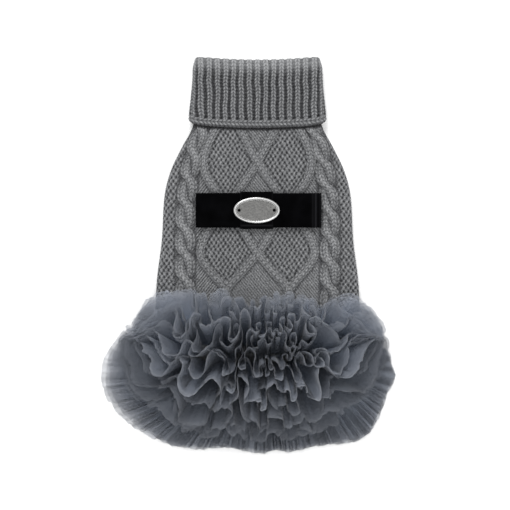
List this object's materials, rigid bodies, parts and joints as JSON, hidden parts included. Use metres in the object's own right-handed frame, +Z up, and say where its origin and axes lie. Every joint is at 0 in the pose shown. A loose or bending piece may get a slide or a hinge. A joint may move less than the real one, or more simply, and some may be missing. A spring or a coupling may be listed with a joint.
{
  "type": "dog dress",
  "caption": "Cable-knit dog dress with a folded rib collar, a flat ribbon bow with an oval badge and a ruffled tulle skirt, laid flat with its back up.",
  "frame": {"origin": "on the flat underside of the belly panel, on the dress's middle line, 128 mm from the neck seam, in the plane that the dress lies on", "axes": "+Y from the tail to the neck, +X to the right seen from above with the neck away from the viewer, +Z up from the surface that it lies on"},
  "size_m": [0.2785, 0.3804, 0.0732],
  "materials": {
    "knit": "soft marled grey wool-like yarn, cable and rib knit",
    "tulle": "slate grey sheer nylon tulle",
    "ribbon": "black satin ribbon",
    "silver": "polished silver-coloured metal",
    "enamel": "fine-grained grey enamel"
  },
  "bodies": {
    "root": {"back_panel": "knit", "belly_panel": "knit", "collar": "knit", "skirt_base": "tulle", "skirt_tier_1": "tulle", "skirt_tier_2": "tulle", "skirt_tier_3": "tulle", "skirt_tier_4": "tulle", "skirt_tier_5": "tulle", "skirt_tier_6": "tulle", "bow_loop": "ribbon", "bow_wrap": "ribbon", "badge_plate": "silver", "badge_inlay": "enamel"}
  },
  "joints": []
}
